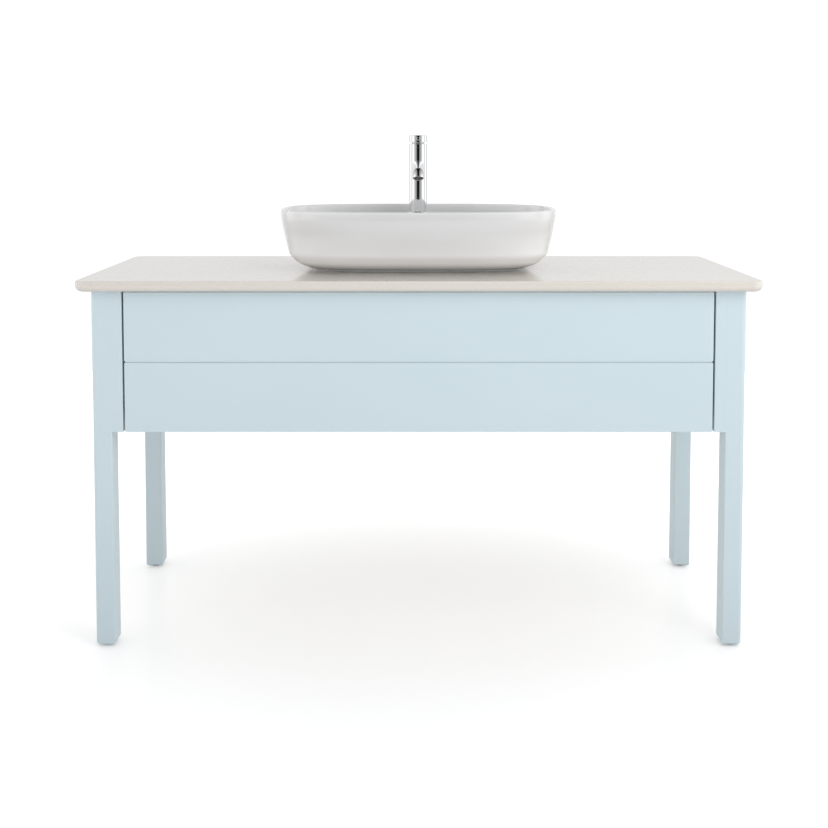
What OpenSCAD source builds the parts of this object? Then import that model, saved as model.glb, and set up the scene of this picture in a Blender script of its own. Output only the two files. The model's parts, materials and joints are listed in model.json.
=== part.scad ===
// Vessel basin on a four-legged vanity with two drawers and a tall single-lever tap.
// Millimetres. Origin on the floor at the plan centre, X along the width, Y towards the wall, Z up.

/* [Slab] */
// Overall width of the stone slab
slab_w = 1388; // [1100:1:1600]
// Overall depth of the slab
slab_d = 570; // [480:1:640]
// Thickness of the slab
slab_t = 22; // [15:0.5:40]
// Height of the slab's top face above the floor
slab_top = 759; // [650:1:900]
// Radius of the slab's corners in plan
slab_corner_r = 24; // [4:1:60]
// Rounding along the top edge
slab_top_r = 3; // [1:0.5:8]
// Rounding along the bottom edge
slab_bottom_r = 12; // [2:0.5:18]

/* [Legs] */
// Width of a leg seen from the front
leg_w = 40; // [30:1:60]
// Depth of a leg
leg_d = 52; // [30:1:70]
// Distance from the centre line to a leg's outer face
leg_outer_x = 664.5; // [500:0.5:780]
// Plane of the front faces of legs, stiles and drawer fronts
front_y = -262; // [-300:1:-200]
// Plane of the rear faces of the back legs
rear_y = 268; // [200:1:300]
// Rounding of a leg's outer vertical corner
leg_outer_r = 10; // [2:0.5:15]
// Rounding of a leg's other vertical corners
leg_r = 3; // [1:0.5:6]
// Chamfer round the bottom of a leg
leg_chamfer = 3; // [0.5:0.5:6]
// Height of the glide under each leg
glide_h = 5; // [3:0.5:20]
// Radius of a glide
glide_r = 13; // [8:0.5:18]

/* [Cabinet] */
// Height of the cabinet's lower edge above the floor
cabinet_z = 448; // [300:1:600]
// Thickness of the inner side panels
panel_t = 22.8; // [15:0.1:25]
// Thickness of the outer panels between the legs
apron_t = 16; // [10:1:20]
// How far the outer panels sit inside the legs' outer faces
apron_inset = 2; // [0.5:0.5:10]
// Thickness of the back and front rails
rail_t = 18; // [12:1:25]
// Height of the back rail
back_rail_h = 46; // [30:1:60]
// Distance of each wall fixing hole from the centre line
wall_hole_x = 520; // [200:5:560]
// Radius of a wall fixing hole
wall_hole_r = 4; // [2:0.5:8]

/* [Drawers] */
// Gap between a drawer front and the stile
side_gap = 3.7; // [1:0.1:6]
// Gap between the upper front and the slab
top_gap = 2; // [1:0.5:6]
// Gap between the two fronts
seam = 3; // [1:0.5:6]
// How far the strip that closes the seam stands back from the fronts
lip_setback = 1; // [0.5:0.5:8]
// Height of the middle of the gap between the fronts
seam_z = 592; // [500:1:700]
// Thickness of a drawer front
front_t = 20; // [14:1:25]
// Thickness of the drawer sides and backs
board_t = 15; // [10:1:20]
// Thickness of the drawer bottoms
bottom_t = 8; // [4:1:14]
// Space for the runner on each side of a drawer
runner_gap = 13; // [12:0.5:16]
// Length of drawers and runners behind the front
drawer_l = 450; // [350:10:500]
// Height of the upper drawer's box
upper_box_h = 90; // [60:1:110]
// Height of the lower drawer's box
lower_box_h = 100; // [60:1:110]
// Half width of the clear space round the trap in the upper drawer
trap_bay = 62; // [45:1:120]
// How far that space reaches in front of the drain
trap_bay_front = 65; // [45:1:120]

/* [Basin] */
// Half width of the basin at its rim
rim_a = 303.3; // [250:0.1:330]
// Half depth of the basin at its rim
rim_b = 200; // [150:1:230]
// Centre of the rim, towards the wall from the slab's centre
rim_y = 5; // [-40:1:60]
// Height of the basin above the slab
basin_h = 133; // [100:1:180]
// Thickness of the rim
rim_t = 9; // [6:0.5:16]
// Squareness of the rim in plan, where 2 is an ellipse
rim_square = 2.8; // [2:0.1:5]
// Squareness of the base in plan
base_square = 4; // [2:0.1:6]
// How far the wall comes in between rim and base, at the ends
wall_inset = 63; // [30:1:90]
// The front's share of that inset
front_share = 1.31; // [0.5:0.01:1.6]
// The back's share of that inset
back_share = 0.52; // [0.3:0.01:1.4]
// Height of the shadow gap under the basin
foot_h = 4.5; // [2:0.5:10]
// How far the foot sits inside the base
foot_inset = 10; // [5:1:25]
// Height of the tap platform above the slab
platform_h = 110.5; // [90:0.5:125]
// Height of the bowl's flat floor above the slab
bowl_floor_h = 16; // [12:0.5:40]
// Front to back position of the drain
drain_y = -45; // [-80:1:0]
// Radius of the drain hole in the basin
drain_hole_r = 23; // [20:0.5:30]
// Points round the basin
basin_facets = 88; // [48:4:128]

/* [Tap] */
// Front to back position of the tap
tap_y = 130; // [110:1:150]
// Radius of the tap's body and cap
tap_r = 20.5; // [16:0.5:28]
// Height of the body's top above the floor
tap_top = 1034.5; // [960:0.5:1100]
// Gap between body and cap
cap_gap = 3.8; // [2:0.1:6]
// Height of the cap
cap_h = 15.7; // [10:0.1:30]
// Radius of the base ring
ring_r = 23.75; // [20:0.25:32]
// Radius of the spout tube
spout_r = 12.5; // [9:0.5:16]
// Downward slope of the spout
spout_slope = 11; // [0:1:30]
// Slope at the spout's outlet
outlet_slope = 66; // [40:1:90]
// Radius of the spout's bend at its centre line
spout_bend_r = 22; // [15:1:40]
// Front to back reach of the straight part, from the tap's axis
spout_reach = 95.6; // [70:0.1:130]
// Height of the spout's axis where its bend starts
spout_bend_z = 969.6; // [920:0.1:1000]
// Radius of the pin lever
pin_r = 4; // [2.5:0.5:6]
// Reach of the pin lever from the tap's axis
pin_reach = 62; // [30:1:90]
// Angle cut away under the rear of the cap, so that it can tilt
heel = 12; // [5:1:20]

/* [Waste and trap] */
// Radius of the waste's flange
flange_r = 32; // [28:0.5:38]
// Radius of the waste's threaded body
waste_r = 22; // [18:0.5:24]
// Radius of the plug's cover
plug_r = 29; // [22:0.5:34]
// Radius of the trap's tube and outlet pipe
pipe_r = 16; // [14:0.5:20]
// Wall of the trap's tubes
pipe_wall = 1.5; // [1:0.1:3]
// Radius of the trap's cup
cup_r = 32; // [26:0.5:40]
// Height of the cup's underside above the floor
cup_z = 596; // [570:1:620]
// Height of the outlet pipe's axis
outlet_z = 661; // [630:1:680]
// Radius of the plate at the wall
plate_r = 36; // [25:1:50]

/* [Hidden] */
$fn = 96;
eps = 0.5;                                      // overshoot of a cut past the face it opens
fit = 0.1;                                      // radial clearance of parts pushed or screwed together
slab_z = slab_top - slab_t;                     // underside of the slab
inner_x = leg_outer_x - leg_w - panel_t;        // inner face of a side panel
front_half = inner_x - side_gap;                // half width of a drawer front
box_half = inner_x - runner_gap;                // half width of a drawer box
box_front = front_y + front_t;                  // rear face of a drawer front
box_back = box_front + drawer_l;                // rear face of a drawer box
upper_z = cabinet_z + 162;                      // underside of the upper drawer's sides
lower_z = cabinet_z + 14;                       // underside of the lower drawer's sides
groove = 2;                                     // height of a drawer bottom above the sides' lower edge
runner_half_h = 17;                             // half height of a cabinet channel
sheet = 1.2;                                    // steel thickness of the runners
platform_z = slab_top + platform_h;             // the tap platform
floor_z = slab_top + bowl_floor_h;              // the bowl's floor
ring_z = platform_z + 1.5;                      // top of the tap's gasket
body_z = ring_z + 6;                            // top of the base ring
cap_z = tap_top + cap_gap;                      // underside of the cap
pivot_z = tap_top + 2;                          // height of the cap's tilting axis
dome_r = 14;                                    // the dome that the cap tilts on
pin_z = cap_z + cap_h/2;                        // height of the pin lever
bore_r = 16.5;                                  // cartridge bore
cartridge_z = tap_top - 36.5;                   // floor of the cartridge bore
shank_r = 16;                                   // tap's fixing thread
nut_z = platform_z - 12;                        // underside of the platform at the tap
stem_foot_z = cartridge_z + 32.2;               // underside of the dome
tail_x = 6.5;                                   // inlet tails either side of the tap's axis
tail_end_z = 700;                               // lower end of the inlet tails
seal_t = 4;                                     // waste's rubber seal
waste_end_z = 700;                              // lower end of the waste's body
cup_top = cup_z + 88;                           // top of the trap's cup
wall_y = slab_d/2;                              // the wall behind the vanity

// How far the outer wall has come in, by share of the height.
wall_curve = [[0, 1], [0.043, 0.76], [0.11, 0.54], [0.23, 0.32], [0.41, 0.2], [0.58, 0.108], [0.76, 0.04],
    [0.9, 0], [1, 0]];

lacquer = [0.78, 0.85, 0.88];
birch = [0.86, 0.82, 0.74];
steel = [0.72, 0.73, 0.75];
chrome = [0.8, 0.81, 0.83];
rubber = [0.16, 0.16, 0.17];

// ---------------------------------------------------------------- shared shapes

// Section through an edge: outer corner rounded by rt above and rb below.
module edge_profile(run, h, rt, rb) {
    difference() {
        square([run, h]);
        if (rt > 0) translate([run - rt, h - rt]) difference() {
            square(rt + 1);
            circle(rt);
        }
        if (rb > 0) translate([run - rb, -1]) difference() {
            square(rb + 1);
            translate([0, rb + 1]) circle(rb);
        }
    }
}

// Flat block with plan corners of radius r and eased top and bottom edges.
module eased_block(w, d, h, r, rt, rb) {
    translate([-w/2 + r, -d/2 + r, 0]) cube([w - 2*r, d - 2*r, h]);
    for (i = [0:3]) {
        side = (i % 2 == 0 ? w : d)/2 - r;
        run = (i % 2 == 0 ? d : w)/2 - r;
        rotate([0, 0, 90*i]) translate([side, run, 0]) {
            rotate([90, 0, 0]) linear_extrude(2*run) edge_profile(r, h, rt, rb);
            rotate_extrude(angle = 90) edge_profile(r, h, rt, rb);
        }
    }
}

// Rectangle with its own radius at each corner: +x+y, -x+y, -x-y, +x-y.
module rounded_plan(w, d, radii) {
    difference() {
        square([w, d], center = true);
        for (i = [0:3]) {
            sx = i == 0 || i == 3 ? 1 : -1;
            sy = i < 2 ? 1 : -1;
            r = radii[i];
            if (r > 0) translate([sx*(w/2 - r), sy*(d/2 - r)]) difference() {
                translate([sx > 0 ? 0 : -r - 1, sy > 0 ? 0 : -r - 1]) square(r + 1);
                circle(r);
            }
        }
    }
}

// A box given by its two corners.
module box(lo, hi) {
    translate(lo) cube(hi - lo);
}

// A tube along Z from z0 to z1.
module tube(r, bore, z0, z1) {
    translate([0, 0, z0]) difference() {
        cylinder(r = r, h = z1 - z0);
        translate([0, 0, -eps]) cylinder(r = bore, h = z1 - z0 + 2*eps);
    }
}

// Turns a shape built along Z so that it runs towards the wall from y0.
module towards_wall(y0, z) {
    translate([0, y0, z]) rotate([-90, 0, 0]) children();
}

// ---------------------------------------------------------------- cabinet

module slab() {
    color([0.9, 0.89, 0.87]) difference() {
        translate([0, 0, slab_z]) eased_block(slab_w, slab_d, slab_t, slab_corner_r, slab_top_r, slab_bottom_r);
        // Passages for the waste and for the tap's fixing.
        for (y = [drain_y, tap_y]) translate([0, y, slab_z - eps]) cylinder(r = 30, h = slab_t + 2*eps);
    }
}

// sx picks left (-1) or right (1), sy picks front (-1) or back (1).
function leg_x(sx) = sx*(leg_outer_x - leg_w/2);
function leg_y(sy) = sy < 0 ? front_y + leg_d/2 : rear_y - leg_d/2;

module leg(sx, sy) {
    color(lacquer) translate([leg_x(sx), leg_y(sy), glide_h]) difference() {
        mirror([sx < 0 ? 1 : 0, 0, 0]) mirror([0, sy > 0 ? 1 : 0, 0]) {
            linear_extrude(cabinet_z - glide_h) rounded_plan(leg_w, leg_d, [leg_r, leg_r, leg_r, leg_outer_r]);
            // Square corners above, where the side panel and the apron meet the leg.
            translate([0, 0, cabinet_z - glide_h]) linear_extrude(slab_z - cabinet_z)
                rounded_plan(leg_w, leg_d, [0, 0, 0, leg_outer_r]);
        }
        for (i = [0:3]) {
            half = (i % 2 == 0 ? leg_w : leg_d)/2;
            rotate([0, 0, 90*i]) translate([half, 0, 0]) rotate([90, 0, 0])
                linear_extrude(2*leg_d, center = true)
                polygon([[-leg_chamfer - 1, -1], [1, -1], [1, leg_chamfer + 1]]);
        }
        // Hole for the glide's pin.
        translate([0, 0, -eps]) cylinder(r = 4 + fit, h = 14 + eps);
    }
}

module glide(sx, sy) {
    color([0.12, 0.12, 0.13]) translate([leg_x(sx), leg_y(sy), 0]) {
        cylinder(r1 = glide_r - 0.8, r2 = glide_r, h = 0.8);
        translate([0, 0, 0.8]) cylinder(r = glide_r, h = glide_h - 0.8);
        translate([0, 0, glide_h]) cylinder(r = 4, h = 12);
    }
}

// Inner side panel. Its front edge makes one face with the leg beside it.
module side_panel(sx) {
    color(lacquer) mirror([sx < 0 ? 1 : 0, 0, 0])
        translate([inner_x + panel_t/2, (front_y + rear_y)/2, cabinet_z])
        linear_extrude(slab_z - cabinet_z) rounded_plan(panel_t, rear_y - front_y, [1, 1, 1.5, 0]);
}

// Outer panel between a front and a back leg.
module apron(sx) {
    x1 = leg_outer_x - apron_inset;
    color(lacquer) mirror([sx < 0 ? 1 : 0, 0, 0])
        box([x1 - apron_t, front_y + leg_d, cabinet_z], [x1, rear_y - leg_d, slab_z]);
}

module back_rail() {
    color(lacquer) difference() {
        box([-inner_x, rear_y - rail_t, slab_z - back_rail_h], [inner_x, rear_y, slab_z]);
        for (sx = [-1, 1]) translate([sx*wall_hole_x, rear_y + eps, slab_z - back_rail_h/2])
            rotate([90, 0, 0]) cylinder(r = wall_hole_r, h = rail_t + 2*eps);
    }
}

module front_rail() {
    color(birch) box([-inner_x, box_front + 6, slab_z - rail_t], [inner_x, box_front + 66, slab_z]);
}

// Steel channel on the cabinet, open towards the drawer, centred at height z.
module channel(sx, z) {
    h = runner_half_h;
    color(steel) mirror([sx < 0 ? 1 : 0, 0, 0]) translate([inner_x, box_back, z]) rotate([90, 0, 0])
        linear_extrude(drawer_l - 2)
        polygon([[0, -h], [0, h], [-10, h], [-10, h - sheet], [-sheet, h - sheet], [-sheet, sheet - h],
            [-10, sheet - h], [-10, -h]]);
}

// Steel rail on the drawer, running inside the channel.
module runner(sx, z) {
    h = runner_half_h - 3;
    reach = runner_gap - sheet - 0.7;
    color(steel) mirror([sx < 0 ? 1 : 0, 0, 0]) translate([box_half, box_back, z]) rotate([90, 0, 0])
        linear_extrude(drawer_l - 2)
        polygon([[0, -h], [reach, -h], [reach, sheet - h], [sheet, sheet - h], [sheet, h - sheet],
            [reach, h - sheet], [reach, h], [0, h]]);
}

// ---------------------------------------------------------------- drawers

// A front between heights z0 and z1, its edges eased on the side that shows. lip is the depth of a set-back
// strip under it that closes the seam.
module drawer_front(z0, z1, lip = 0) {
    color(lacquer) {
        translate([0, box_front, (z0 + z1)/2]) rotate([90, 0, 0])
            eased_block(2*front_half, z1 - z0, front_t, 2, 1.5, 0.5);
        if (lip > 0) box([2 - front_half, front_y + lip_setback, z0 - lip], [front_half - 2, box_front - 1, z0 + 1]);
    }
}

module drawer_side(sx, z, h) {
    color(birch) mirror([sx < 0 ? 1 : 0, 0, 0])
        translate([box_half - board_t/2, (box_front + box_back)/2, z]) linear_extrude(h)
        rounded_plan(board_t, drawer_l, [1, 1, 0, 0]);
}

// Bottom of the upper drawer, notched at the rear for the trap.
module upper_bottom() {
    x = box_half - board_t;
    bay_y = drain_y - trap_bay_front;
    color(birch) translate([0, 0, upper_z + groove]) linear_extrude(bottom_t)
        polygon([[-x, box_front], [x, box_front], [x, box_back], [trap_bay, box_back], [trap_bay, bay_y],
            [-trap_bay, bay_y], [-trap_bay, box_back], [-x, box_back]]);
}

// Rear board of the upper drawer, folded forward round the trap.
module upper_back() {
    x = box_half - board_t;
    t = board_t;
    bay_y = drain_y - trap_bay_front;
    color(birch) translate([0, 0, upper_z + groove + bottom_t]) linear_extrude(upper_box_h - groove - bottom_t)
        polygon([[-x, box_back], [-x, box_back - t], [-trap_bay - t, box_back - t], [-trap_bay - t, bay_y - t],
            [trap_bay + t, bay_y - t], [trap_bay + t, box_back - t], [x, box_back - t], [x, box_back],
            [trap_bay, box_back], [trap_bay, bay_y], [-trap_bay, bay_y], [-trap_bay, box_back]]);
}

module lower_bottom() {
    x = box_half - board_t;
    color(birch) box([-x, box_front, lower_z + groove], [x, box_back, lower_z + groove + bottom_t]);
}

module lower_back() {
    x = box_half - board_t;
    color(birch)
        box([-x, box_back - board_t, lower_z + groove + bottom_t], [x, box_back, lower_z + lower_box_h]);
}

// ---------------------------------------------------------------- basin

// One level of the basin: half width, half depth, centre y, squareness, height at the front, height at the back.
function spow(v, p) = sign(v)*pow(abs(v), p);
function smooth(v) = let (t = max(0, min(1, v))) t*t*(3 - 2*t);
function level(a, b, yc, n, zf, zb) = [for (i = [0:basin_facets - 1])
    let (t = 360*(i + 0.5)/basin_facets, c = cos(t), s = sin(t), back = smooth((s - 0.1)/0.5))
    [a*spow(c, 2/n), yc + b*spow(s, 2/n), slab_top + zf + (zb - zf)*back]];

// Outer wall at height h, drawn in by a further inset.
function outer_inset(h) = wall_inset*lookup((h - foot_h)/(basin_h - foot_h), wall_curve);
function outer(h, extra = 0) = let (
        d = outer_inset(h),
        n = base_square + (rim_square - base_square)*smooth((h - foot_h)/(0.6*basin_h)))
    level(rim_a - d - extra, rim_b - d*(front_share + back_share)/2 - extra,
        rim_y + d*(front_share - back_share)/2, n, h, h);

// Inner wall, drawn in from the rim, at height zf in front and zb at the back.
function inner(inset, zf, zb) = level(rim_a - inset, rim_b - inset, rim_y, rim_square, zf, zb);

// A level of the bowl, between front and back limits.
function bowl(a, y0, y1, n, zf, zb) = level(a, (y1 - y0)/2, (y0 + y1)/2, n, zf, zb);

basin_levels = concat(
    [outer(0, foot_inset), outer(foot_h, foot_inset)],
    [for (k = [0, 0.03, 0.07, 0.12, 0.18, 0.25, 0.34, 0.45, 0.58, 0.72, 0.86]) outer(foot_h + k*(basin_h - foot_h))],
    [outer(basin_h - 4.5), outer(basin_h - 2.1, 0.6), outer(basin_h - 0.5, 2.2), outer(basin_h, 4)],
    [inner(rim_t - 4, basin_h, basin_h), inner(rim_t - 2, basin_h - 0.6, basin_h - 0.6),
     inner(rim_t - 0.6, basin_h - 2.2, basin_h - 2.2), inner(rim_t, basin_h - 4.5, basin_h - 4.5),
     inner(rim_t + 2, platform_h - 1, platform_h + 6), inner(rim_t + 4.5, platform_h - 10, platform_h + 1.6),
     inner(rim_t + 9, platform_h - 20, platform_h)],
    [bowl(268, -168, 84, 2.8, platform_h - 36, platform_h), bowl(264, -164, 80, 2.8, platform_h - 45, platform_h - 1.6),
     bowl(260, -160, 76, 2.8, platform_h - 53, platform_h - 8), bowl(252, -153, 70, 2.8, 45, 78),
     bowl(240, -145, 62, 2.7, 34, 52), bowl(216, -131, 46, 2.6, 25, 34), bowl(170, -111, 22, 2.4, 20.5, 24),
     bowl(110, -92, 2, 2.2, bowl_floor_h + 2, bowl_floor_h + 3),
     bowl(60, drain_y - 40, drain_y + 40, 2, bowl_floor_h + 0.5, bowl_floor_h + 0.5),
     bowl(36, drain_y - 36, drain_y + 36, 2, bowl_floor_h, bowl_floor_h)]);

// A closed skin through a stack of levels.
module skin(levels) {
    n = basin_facets;
    m = len(levels);
    polyhedron(points = [for (l = levels) each l], faces = concat(
        [[for (i = [0:n - 1]) i]],
        [for (j = [0:m - 2], i = [0:n - 1]) let (k = (i + 1) % n) [j*n + i, (j + 1)*n + i, (j + 1)*n + k]],
        [for (j = [0:m - 2], i = [0:n - 1]) let (k = (i + 1) % n) [j*n + i, (j + 1)*n + k, j*n + k]],
        [[for (i = [n - 1:-1:0]) (m - 1)*n + i]]));
}

module basin() {
    color([0.95, 0.95, 0.95]) difference() {
        skin(basin_levels);
        translate([0, drain_y, slab_top - eps]) cylinder(r = drain_hole_r, h = basin_h);
        translate([0, tap_y, slab_top - eps]) cylinder(r = shank_r + 1, h = basin_h);
        // Hollow under the tap platform, where the tap's nut is tightened.
        box([-50, tap_y - 27, slab_top - eps], [50, tap_y + 27, nut_z]);
    }
}

// ---------------------------------------------------------------- tap

// Runs along the spout's axis with a round section of radius r, from the outlet to near the tap's axis.
module spout_run(r, start) {
    translate([0, tap_y - spout_reach + spout_bend_r*sin(spout_slope), spout_bend_z - spout_bend_r*cos(spout_slope)])
        rotate([90, 0, 90]) rotate([0, 0, 90 + spout_slope]) {
            rotate_extrude(angle = outlet_slope - spout_slope) translate([spout_bend_r, 0]) circle(r);
            translate([spout_bend_r, 0, 0]) rotate([90, 0, 0])
                cylinder(r = r, h = spout_reach/cos(spout_slope) - start);
        }
}

// Places a shape at the spout's outlet, its Z pointing back up the bend.
module at_outlet() {
    translate([0, tap_y - spout_reach + spout_bend_r*(sin(spout_slope) - sin(outlet_slope)),
        spout_bend_z - spout_bend_r*(cos(spout_slope) - cos(outlet_slope))])
        rotate([outlet_slope - 90, 0, 0]) children();
}

module tap_gasket() {
    color(rubber) translate([0, tap_y, 0]) tube(ring_r - 1.5, shank_r + 0.5, platform_z, ring_z);
}

module tap_ring() {
    color(chrome) translate([0, tap_y, 0]) difference() {
        translate([0, 0, ring_z]) rotate_extrude() edge_profile(ring_r, body_z - ring_z, 2, 0);
        translate([0, 0, ring_z - eps]) cylinder(r = shank_r + 0.5, h = body_z - ring_z + 2*eps);
    }
}

module tap_body() {
    color(chrome) difference() {
        union() {
            translate([0, tap_y, body_z]) rotate_extrude() edge_profile(tap_r, tap_top - body_z, 0.8, 0);
            spout_run(spout_r, 0);
        }
        translate([0, tap_y, cartridge_z]) cylinder(r = bore_r, h = 60);
        translate([0, tap_y, body_z - eps]) cylinder(r = shank_r + fit, h = 12 + eps);
        // Inlet waterways, stepping back past the spout's duct.
        for (sx = [-1, 1]) {
            translate([sx*tail_x, tap_y, body_z]) cylinder(r = 4.5 + fit, h = 88);
            translate([sx*tail_x, tap_y + 6, body_z + 78]) cylinder(r = 3.5, h = cartridge_z - body_z - 78 + eps);
        }
        // The spout's duct and its feed from the cartridge.
        spout_run(8, 8);
        translate([0, tap_y - 9, spout_bend_z + 10]) cylinder(r = 3.5, h = cartridge_z - spout_bend_z - 10 + eps);
        at_outlet() translate([0, 0, -eps]) cylinder(r = 11, h = 6 + eps);
    }
}

module tap_shank() {
    color([0.78, 0.66, 0.4]) translate([0, tap_y, 0]) tube(shank_r, 12, nut_z - 18, body_z + 11.5);
}

// Horseshoe washer, open at the back.
module tap_washer() {
    color(steel) translate([0, tap_y, nut_z - 3]) difference() {
        cylinder(r = 23, h = 3);
        translate([0, 0, -eps]) cylinder(r = shank_r + 0.4, h = 3 + 2*eps);
        translate([-4, 0, -eps]) cube([8, 30, 3 + 2*eps]);
    }
}

module tap_nut() {
    color([0.78, 0.66, 0.4]) translate([0, tap_y, nut_z - 13]) difference() {
        cylinder(r = 23.5, h = 10, $fn = 6);
        translate([0, 0, -eps]) cylinder(r = shank_r + fit, h = 10 + 2*eps);
    }
}

module inlet(sx) {
    color([0.75, 0.5, 0.35]) translate([sx*tail_x, tap_y, 0]) tube(4.5, 3.2, tail_end_z, body_z + 70);
}

module cartridge() {
    color([0.9, 0.9, 0.88]) translate([0, tap_y, cartridge_z]) {
        cylinder(r = bore_r - fit, h = 28);
        translate([0, 0, 28]) cylinder(r = 9, h = 3.8);
    }
}

module cartridge_nut() {
    color([0.78, 0.66, 0.4]) translate([0, tap_y, 0])
        tube(bore_r - fit, 9.5, cartridge_z + 28.2, cartridge_z + 31.8);
}

// The part of the mixer that turns with the cap: a dome standing on the cartridge.
module stem() {
    color(steel) translate([0, tap_y, pivot_z]) difference() {
        sphere(r = dome_r);
        translate([-20, -20, stem_foot_z - pivot_z - 40]) cube([40, 40, 40]);
    }
}

module cap() {
    color(chrome) difference() {
        translate([0, tap_y, cap_z]) rotate_extrude() edge_profile(tap_r, cap_h, 0.8, 0.4);
        translate([0, tap_y, pivot_z]) sphere(r = dome_r + 0.4);
        // Heel, cut up towards the rear.
        translate([-30, tap_y, cap_z]) rotate([heel, 0, 0]) translate([0, 0, -20]) cube([60, 40, 20]);
        translate([0, tap_y - tap_r - 5, pin_z]) rotate([-90, 0, 0]) cylinder(r = pin_r, h = 15);
    }
}

module lever() {
    color(chrome) translate([0, tap_y - pin_reach, pin_z]) rotate([-90, 0, 0]) {
        cylinder(r1 = pin_r - 0.6, r2 = pin_r, h = 0.6);
        translate([0, 0, 0.6]) cylinder(r = pin_r, h = pin_reach - dome_r - 1.6);
    }
}

module aerator() {
    color([0.35, 0.36, 0.38]) at_outlet() difference() {
        translate([0, 0, 0.6]) cylinder(r = 11 - fit, h = 5.4);
        translate([0, 0, -eps]) cylinder(r = 8.5, h = 1.6 + eps);
    }
}

// ---------------------------------------------------------------- waste and trap

// Waste with its flange in the bowl and a bush that guides the plug's stem.
module waste_body() {
    color(chrome) translate([0, drain_y, 0]) {
        difference() {
            union() {
                translate([0, 0, floor_z]) rotate_extrude() edge_profile(flange_r, 3, 1.5, 0);
                translate([0, 0, 724]) cylinder(r = waste_r, h = floor_z - 724 + 1);
                translate([0, 0, waste_end_z]) cylinder(r = 19, h = 25);
            }
            translate([0, 0, waste_end_z - eps]) cylinder(r = 16.6, h = 100);
            translate([0, 0, floor_z - 3]) cylinder(r1 = 16.6, r2 = 25, h = 6.01);
        }
        tube(6, 4.1, 742, 762);
        for (a = [0, 120, 240]) rotate([0, 0, a]) box([5.2, -1.2, 742], [17.2, 1.2, 756]);
    }
}

module waste_plug() {
    color(chrome) translate([0, drain_y, 0]) {
        translate([0, 0, floor_z + 4]) rotate_extrude() edge_profile(plug_r, 4, 2.5, 0.5);
        translate([0, 0, 736]) cylinder(r = 4, h = floor_z + 5 - 736);
    }
}

module waste_seal() {
    color(rubber) translate([0, drain_y, 0]) tube(34, waste_r + fit, slab_z - seal_t, slab_z);
}

module waste_nut() {
    color(steel) translate([0, drain_y, slab_z - seal_t - 8]) difference() {
        cylinder(r = 35, h = 8, $fn = 6);
        translate([0, 0, -eps]) cylinder(r = waste_r + fit, h = 8 + 2*eps);
    }
}

module trap_tube() {
    color(chrome) translate([0, drain_y, 0]) tube(pipe_r, pipe_r - pipe_wall, cup_z + 16, waste_end_z + 8);
}

module trap_nut() {
    color(chrome) translate([0, drain_y, 0]) {
        tube(23, 19 + fit, waste_end_z, waste_end_z + 12);
        tube(23, pipe_r + fit, waste_end_z - 10, waste_end_z);
    }
}

module trap_cup() {
    port_y = 46;
    color(chrome) difference() {
        union() {
            translate([0, drain_y, cup_z]) rotate_extrude() edge_profile(cup_r, cup_top - cup_z, 3, 5);
            towards_wall(drain_y, outlet_z) cylinder(r = 19, h = port_y);
        }
        translate([0, drain_y, cup_z + 3]) cylinder(r = cup_r - 3, h = cup_top - cup_z - 7);
        translate([0, drain_y, cup_top - 10]) cylinder(r = pipe_r + fit, h = 20);
        towards_wall(drain_y, outlet_z) cylinder(r = pipe_r + fit, h = port_y + eps);
    }
}

module outlet_pipe() {
    start = drain_y + cup_r;
    color(chrome) towards_wall(0, outlet_z) tube(pipe_r, pipe_r - pipe_wall, start, wall_y);
}

module outlet_nut() {
    end = drain_y + 46;
    color(chrome) towards_wall(0, outlet_z) {
        tube(23, 19 + fit, end - 12, end);
        tube(23, pipe_r + fit, end, end + 10);
    }
}

module wall_plate() {
    color(chrome) towards_wall(0, outlet_z) difference() {
        union() {
            translate([0, 0, wall_y - 4]) cylinder(r = plate_r, h = 4);
            translate([0, 0, wall_y - 12]) cylinder(r = 20, h = 9);
        }
        translate([0, 0, wall_y - 20]) cylinder(r = pipe_r + fit, h = 30);
    }
}

// ---------------------------------------------------------------- the nodes

upper_run_z = upper_z + upper_box_h/2;
lower_run_z = lower_z + lower_box_h/2;

slab();
leg(-1, -1);  // leg_front_left
leg(1, -1);  // leg_front_right
leg(-1, 1);  // leg_back_left
leg(1, 1);  // leg_back_right
glide(-1, -1);  // glide_front_left
glide(1, -1);  // glide_front_right
glide(-1, 1);  // glide_back_left
glide(1, 1);  // glide_back_right
side_panel(-1);  // side_panel_left
side_panel(1);  // side_panel_right
apron(-1);  // apron_left
apron(1);  // apron_right
back_rail();
front_rail();
channel(-1, upper_run_z);  // upper_channel_left
channel(1, upper_run_z);  // upper_channel_right
channel(-1, lower_run_z);  // lower_channel_left
channel(1, lower_run_z);  // lower_channel_right
drawer_front(seam_z + seam/2, slab_z - top_gap, seam - 0.5);  // upper_front
drawer_side(-1, upper_z, upper_box_h);  // upper_side_left
drawer_side(1, upper_z, upper_box_h);  // upper_side_right
upper_bottom();
upper_back();
runner(-1, upper_run_z);  // upper_runner_left
runner(1, upper_run_z);  // upper_runner_right
drawer_front(cabinet_z, seam_z - seam/2);  // lower_front
drawer_side(-1, lower_z, lower_box_h);  // lower_side_left
drawer_side(1, lower_z, lower_box_h);  // lower_side_right
lower_bottom();
lower_back();
runner(-1, lower_run_z);  // lower_runner_left
runner(1, lower_run_z);  // lower_runner_right
basin();
tap_gasket();
tap_ring();
tap_body();
tap_shank();
tap_washer();
tap_nut();
inlet(-1);  // inlet_hot
inlet(1);  // inlet_cold
cartridge();
cartridge_nut();
stem();
cap();
lever();
aerator();
waste_body();
waste_plug();
waste_seal();
waste_nut();
trap_tube();
trap_nut();
trap_cup();
outlet_pipe();
outlet_nut();
wall_plate();
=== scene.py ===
"""Looks of the vessel basin on its vanity: pieces, materials, floor, light and camera round the part."""

import json
import math

import bmesh
import bpy
from mathutils import Matrix, Vector


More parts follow.
